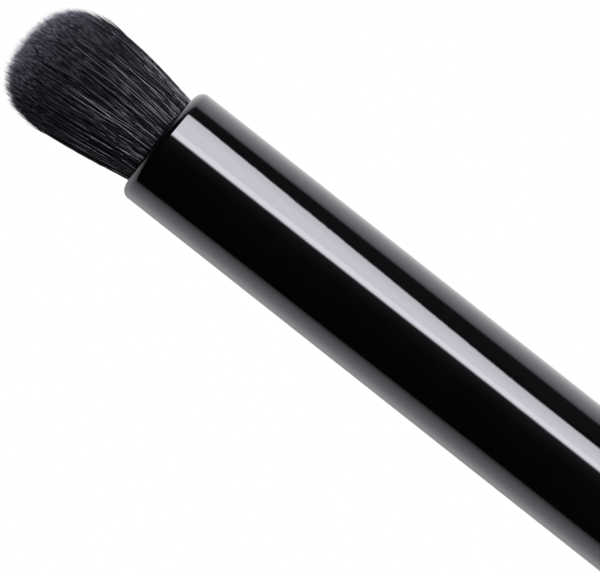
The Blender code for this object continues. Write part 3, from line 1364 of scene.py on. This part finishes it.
@dataclass
class Tuft:
    """The tuft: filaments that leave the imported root, flare to the belly and end in a dome."""

    growth: Growth = Growth()
    filaments: int = 8000
    clumps: int = 620
    seed: int = 7
    seed_stride: int = 100
    root_foot: float = 0.11665
    glued_radius: float = 0.00315
    root_rounding: float = 0.0001
    root_crown: float = 0.0003
    zones: tuple[Zone, ...] = (
        Zone("tuft_inner_filaments", 0.0, 0.62, 7),
        Zone("tuft_middle_filaments", 0.62, 0.86, 9),
        Zone("tuft_outer_filaments", 0.86, 1.0, 11),
    )

    def root_outline(self) -> Outline:
        """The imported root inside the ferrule, with a slightly crowned top.

        Returns:
            Points as (radius, height).
        """
        shoulder = self.growth.rim - self.root_rounding
        corners = [
            Corner(0.0, self.root_foot),
            Corner(self.glued_radius, self.root_foot, self.root_rounding),
            Corner(self.glued_radius, shoulder, self.root_rounding),
            Corner(0.0, shoulder + self.root_crown),
        ]
        return rounded_outline(corners, closed=False)

    def build(self, finish: Finish) -> None:
        """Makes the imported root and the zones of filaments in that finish.

        Args:
            finish: the filament's.
        """
        material = finish.material()
        root = Lathe.turn("tuft_root", self.root_outline(), material)
        hand_over(root, finish.slot, "bristle_tuft")
        tree = FilamentTree(self.growth).build()
        for order, zone in enumerate(self.zones):
            piece = link_object(zone.name, bpy.data.meshes.new(zone.name))
            values = {
                "Inner Share": zone.inner,
                "Outer Share": zone.outer,
                "Count": round(self.filaments * (zone.outer**2 - zone.inner**2)),
                "Rings": zone.rings,
                "Clumps": self.clumps,
                "Seed": self.seed + self.seed_stride * order,
                "Material": material,
            }
            run_nodes(piece, tree, values)
            hand_over(piece, finish.slot, "bristle_tuft")


@dataclass
class Inside:
    """The pieces inside the barrel, which stay as CAD nodes. Each field is a node's name and its finish."""

    ferrule: Finish = TurnedMetal("ferrule_aluminium", (0.80, 0.80, 0.81), 0.30, metallic=1.0)
    handle_core: Finish = MouldedPlastic("core_black_plastic", (0.02, 0.02, 0.02), 0.45)
    balance_weight: Finish = TurnedMetal(
        "weight_steel", (0.45, 0.45, 0.46), 0.35, metallic=1.0, stain=(0.2, 0.17, 0.14)
    )
    epoxy_plug: Finish = Epoxy("epoxy_amber", (0.55, 0.36, 0.14), 0.25)

    def dress(self) -> None:
        """Gives each node its finish, and reports it."""
        for name, finish in vars(self).items():
            material = finish.material()
            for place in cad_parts[name].material_slots:
                place.material = material
            log.info("%s: CAD node, finished as %s", name, finish.slot)


# The studio


@dataclass
class PhotoCamera:
    """The camera of the photograph, placed by the pixel at which the middle of the mouth shows."""

    image_width: float = 600.0
    image_height: float = 573.0
    mouth_pixel: tuple[float, float] = (160.8, 141.2)
    pixels_per_metre: float = 14500.0
    distance: float = 0.300
    roll: float = math.radians(38.3)
    tilt: float = math.radians(1.1)
    sensor: float = 36.0
    clip: tuple[float, float] = (0.01, 20.0)

    def build(self, mouth: Vector) -> None:
        """Adds the camera.

        Args:
            mouth: the middle of the barrel's mouth.
        """
        along, across = math.cos(self.roll), math.sin(self.roll)
        level, lift = math.cos(self.tilt), math.sin(self.tilt)
        right = Vector((across, along * lift, -along * level))
        up = Vector((along, -across * lift, across * level))
        back = Vector((0.0, -level, -lift))
        shift_right = (self.mouth_pixel[0] - self.image_width / 2) / self.pixels_per_metre
        shift_up = (self.image_height / 2 - self.mouth_pixel[1]) / self.pixels_per_metre
        data = bpy.data.cameras.new("photo_camera")
        data.sensor_width = self.sensor
        data.lens = self.pixels_per_metre * self.distance / self.image_width * self.sensor
        data.clip_start, data.clip_end = self.clip
        camera = link_object("photo_camera", data)
        place = mouth - right * shift_right - up * shift_up + back * self.distance
        camera.matrix_world = Matrix.Translation(place) @ Matrix((right, up, back)).transposed().to_4x4()
        bpy.context.scene.camera = camera


class Sky:
    """The world's light by direction: the board, and the wires that more than one light reads.

    Turn is the direction's degrees round from the photograph's camera, towards +X, and rise its degrees above
    the horizon.
    """

    CLIMB = (-2.0, 3.4)
    RIM_RISE = 3.7
    RIM_BULGE = 16.5
    RIM_TURN = math.radians(0.5)
    RIM_EDGE = Step(-0.6, 0.6, 1.0, 0.0)
    LEAD = Step(10.0, 56.0, 0.0, 22.0)
    TOP = Step(54.0, 74.0, 1.0, 0.15)

    def __init__(self, board: Board) -> None:
        """Works the shared wires out from the direction of the ray.

        Args:
            board: the world's board.
        """
        self.board = board
        x, y, z = board.split(board.take("ShaderNodeTexCoord", "Generated"))
        self.turn = board.math("DEGREES", board.math("ARCTAN2", x, -y))
        self.rise = board.math("DEGREES", board.math("ARCSINE", z))
        self.climb = self.held(self.rise, self.CLIMB)
        self.lead = self.LEAD.of(self.rise)
        self.top = self.TOP.of(self.rise)
        bulge = self.RIM_BULGE * board.math("COSINE", self.turn * self.RIM_TURN)
        self.below_rim = self.RIM_EDGE.of(self.rise - self.RIM_RISE - bulge)

    def held(self, value: Wire, limits: tuple[float, float]) -> Wire:
        """A value held between two limits."""
        return self.board.math("MINIMUM", self.board.math("MAXIMUM", value, limits[0]), limits[1])


class WorldLight:
    """A light of the studio that is set in the world."""

    def level(self, sky: Sky) -> Wire:
        """Its radiance in each direction."""
        raise NotImplementedError


@dataclass(frozen=True)
class StripBox(WorldLight):
    """The strip softbox on the right, low for the tuft, and tall for the strip of light on the barrel."""

    radiance: float = 14.0
    near_edge: Step = Step(18.5, 24.5)
    near_offset: float = 0.7
    near_slant: float = 0.4
    near_rise: float = 1.1
    near_limits: tuple[float, float] = (-2.35, 0.3)
    far_edge: Step = Step(-2.5, 2.5, 1.0, 0.0)
    far_turn: float = 60.4
    far_slant: float = 3.0
    falloff: Step = Step(-20.0, -3.0, 1.0, 0.86)
    hot_side: Step = Step(29.5, 32.5, 1.2, 1.0)
    half_height: Step = Step(10.0, 12.5, 1.0, 0.0)
    tall_foot: Step = Step(-50.0, -45.0)
    uneven_rise: Step = Step(-19.0, -6.0, 1.0, 0.0)
    uneven_turn: Step = Step(25.0, 60.0, -0.6, 0.6)

    def level(self, sky: Sky) -> Wire:
        """Its radiance in each direction.

        Args:
            sky: the directions and the wires that the lights share.

        Returns:
            The radiance.
        """
        board, turn, rise = sky.board, sky.turn, sky.rise
        slant = sky.held(rise - self.near_rise, self.near_limits)
        past_far = turn - sky.climb * self.far_slant - self.far_turn
        past_near = turn + slant * self.near_slant + self.near_offset
        edges = self.near_edge.of(past_near) * self.far_edge.of(past_far)
        low = self.half_height.of(board.math("ABSOLUTE", rise))
        glossy = board.take("ShaderNodeLightPath", "Is Glossy Ray")
        tall = sky.below_rim * self.tall_foot.of(rise) * glossy
        uneven = 1.0 + self.uneven_rise.of(rise) * self.uneven_turn.of(turn)
        window = board.math("MAXIMUM", low, tall) * uneven
        return edges * self.falloff.of(past_far) * self.hot_side.of(turn) * window * self.radiance


@dataclass(frozen=True)
class StripGlow(WorldLight):
    """The faint light on both sides of the strip: a glow that grows towards it, and a spill past it."""

    radiance: float = 0.026
    growth: float = 9.0
    end: Step = Step(20.0, 24.0, 1.0, 0.0)
    spill: Step = Step(2.5, 9.0, 0.05, 0.14)
    spill_start: Step = Step(60.0, 66.0)
    spill_end: Step = Step(92.0, 96.0, 1.0, 0.0)

    def level(self, sky: Sky) -> Wire:
        """Its radiance in each direction.

        Args:
            sky: the directions and the wires that the lights share.

        Returns:
            The radiance.
        """
        grown = self.radiance * sky.board.math("EXPONENT", sky.turn / self.growth)
        glow = grown * self.end.of(sky.turn) * sky.below_rim
        return glow + self.spill.of(sky.rise) * self.spill_start.of(sky.turn) * self.spill_end.of(sky.turn)


@dataclass(frozen=True)
class SideWalls(WorldLight):
    """The white walls of the sweep on both sides, dimmer overhead and behind the brush."""

    right_edge: Step = Step(92.2, 101.0)
    right_radiance: Step = Step(96.0, 114.0, 1.32, 1.8)
    right_rise: Step = Step(8.0, 24.0, 1.0, 1.2)
    left_radiance: float = 1.42
    left_turn: float = 84.3
    left_slant: float = 0.95
    left_growth: float = 8.3
    left_rise: Step = Step(8.0, 30.0, 1.0, 0.92)
    left_back: Step = Step(132.0, 172.0, 1.0, 0.55)
    back: Step = Step(125.0, 180.0, 1.0, 0.6)

    def level(self, sky: Sky) -> Wire:
        """Their radiance in each direction.

        Args:
            sky: the directions and the wires that the lights share.

        Returns:
            The radiance.
        """
        board, turn, rise = sky.board, sky.turn, sky.rise
        right = self.right_edge.of(turn + sky.lead) * self.right_radiance.of(turn) * self.right_rise.of(rise)
        edge = sky.climb * self.left_slant + self.left_turn
        past = board.math("MAXIMUM", -turn - edge + sky.lead, 0.0)
        grown = 1.0 - board.math("EXPONENT", past / -self.left_growth)
        left = grown * self.left_radiance * self.left_rise.of(rise) * self.left_back.of(-turn)
        return (right + left) * sky.top * self.back.of(board.math("ABSOLUTE", turn))


@dataclass(frozen=True)
class LowPanel(WorldLight):
    """The dim panel low behind the brush on the right, which lights the tuft's right edge."""

    radiance: float = 18.0
    start: Step = Step(104.0, 116.0)
    end: Step = Step(158.0, 168.0, 1.0, 0.0)
    foot: Step = Step(-20.0, -13.0)
    top: Step = Step(-8.5, -5.0, 1.0, 0.0)

    def level(self, sky: Sky) -> Wire:
        """Its radiance in each direction."""
        across = self.start.of(sky.turn) * self.end.of(sky.turn)
        return across * self.foot.of(sky.rise) * self.top.of(sky.rise) * self.radiance


@dataclass
class Studio:
    """The studio: its lights in the world, one soft lamp overhead, and a pale floor."""

    lights: tuple[WorldLight, ...] = (StripBox(), StripGlow(), SideWalls(), LowPanel())
    front_tint: Colour = (0.985, 0.965, 1.06)
    back_tint: Colour = (1.02, 0.985, 0.985)
    tint_change: Step = Step(120.0, 160.0)
    white: Colour = (1.0, 1.0, 1.0)
    lamp_place: tuple[float, float, float] = (0.15, -0.15, 1.1)
    lamp_size: float = 0.9
    lamp_energy: float = 5.0
    floor_radius: float = 1.1
    floor_sides: int = 96
    floor_drop: float = 0.00002
    floor_colour: Colour = (0.86, 0.86, 0.865)
    floor_whitens: Step = Step(0.12, 0.75)
    floor_opens: Step = Step(0.06, 0.30)

    def build_world(self) -> None:
        """Sets the world: plain white to the camera, and the studio's lights to every other ray."""
        world = bpy.data.worlds.new("studio")
        bpy.context.scene.world = world
        world.use_nodes = True
        board = Board(world.node_tree)
        board.tree.nodes.clear()
        sky = Sky(board)
        level, *others = [light.level(sky) for light in self.lights]
        for other in others:
            level = level + other
        behind = self.tint_change.of(board.math("ABSOLUTE", sky.turn))
        tint = board.blend(behind, rgba(self.front_tint), rgba(self.back_tint))
        studio = board.take("ShaderNodeBackground", 0, {"Color": tint, "Strength": level})
        white = board.take("ShaderNodeBackground", 0, {"Color": rgba(self.white), "Strength": 1.0})
        seen = board.take("ShaderNodeLightPath", "Is Camera Ray")
        board.add("ShaderNodeOutputWorld", {"Surface": board.mix(seen, studio, white)})

    def build_lamp(self) -> None:
        """Adds the soft lamp overhead, which evens out the light on the floor."""
        data = bpy.data.lights.new("overhead_softbox", "AREA")
        data.shape = "DISK"
        data.size = self.lamp_size
        data.energy = self.lamp_energy
        lamp = link_object("overhead_softbox", data)
        lamp.matrix_world = Matrix.Translation(self.lamp_place)
        lamp.visible_glossy = False

    def floor_material(self) -> bpy.types.Material:
        """The floor's material.

        It whitens away from the brush for the camera, and lets glossy and shadow rays through there, so that
        the barrel mirrors the sweep below the horizon and the floor's rim throws no shadow.

        Returns:
            The material.
        """
        made = bpy.data.materials.new("pale_floor")
        made.use_nodes = True
        board = Board(made.node_tree)
        board.tree.nodes.clear()
        distance = board.length(board.object_place())
        seen = board.take("ShaderNodeLightPath", "Is Camera Ray")
        glossy = board.take("ShaderNodeLightPath", "Is Glossy Ray")
        shadow = board.take("ShaderNodeLightPath", "Is Shadow Ray")
        diffuse = board.take("ShaderNodeBsdfDiffuse", 0, {"Color": rgba(self.floor_colour)})
        white = board.take("ShaderNodeEmission", 0, {"Color": rgba(self.white), "Strength": 1.0})
        open_air = board.take("ShaderNodeBsdfTransparent", 0)
        whitened = self.floor_whitens.of(distance) * seen
        opened = self.floor_opens.of(distance) * board.math("MAXIMUM", glossy, shadow)
        lit = board.mix(whitened, diffuse, white)
        board.add("ShaderNodeOutputMaterial", {"Surface": board.mix(opened, lit, open_air)})
        return made

    def build_floor(self) -> None:
        """Adds the floor: a pale disc that fades to the white of the sweep."""
        disc = bmesh.new()
        bmesh.ops.create_circle(
            disc, cap_ends=True, cap_tris=True, segments=self.floor_sides, radius=self.floor_radius
        )
        data = bpy.data.meshes.new("floor")
        disc.to_mesh(data)
        disc.free()
        data.transform(Matrix.Translation((0.0, 0.0, -self.floor_drop)))
        data.materials.append(self.floor_material())
        link_object("floor", data)

    def build(self) -> None:
        """Adds the world, the lamp and the floor, and sets the plain view transform."""
        self.build_world()
        self.build_lamp()
        self.build_floor()
        bpy.context.scene.view_settings.view_transform = "Standard"


def main() -> None:
    """Builds the camera and the studio, makes the brush's own pieces, and dresses the ones inside."""
    logging.basicConfig(level=logging.INFO, format="%(name)s: %(message)s")
    barrel = Barrel()
    PhotoCamera().build(Vector((0.0, 0.0, barrel.mouth)))
    Studio().build()

    gloss_black = Lacquer("gloss_black_plastic", (0.0011, 0.0011, 0.0012), 0.03)
    barrel.build(gloss_black)
    TailCap().build(gloss_black)
    RattlePad().build(Foam("pad_foam", (0.25, 0.25, 0.26), 0.90))
    Tuft().build(Filament("filament_charcoal", (0.0032, 0.0031, 0.0054), 0.40, ior=1.2))
    Inside().dress()


if __name__ == "__main__":
    main()
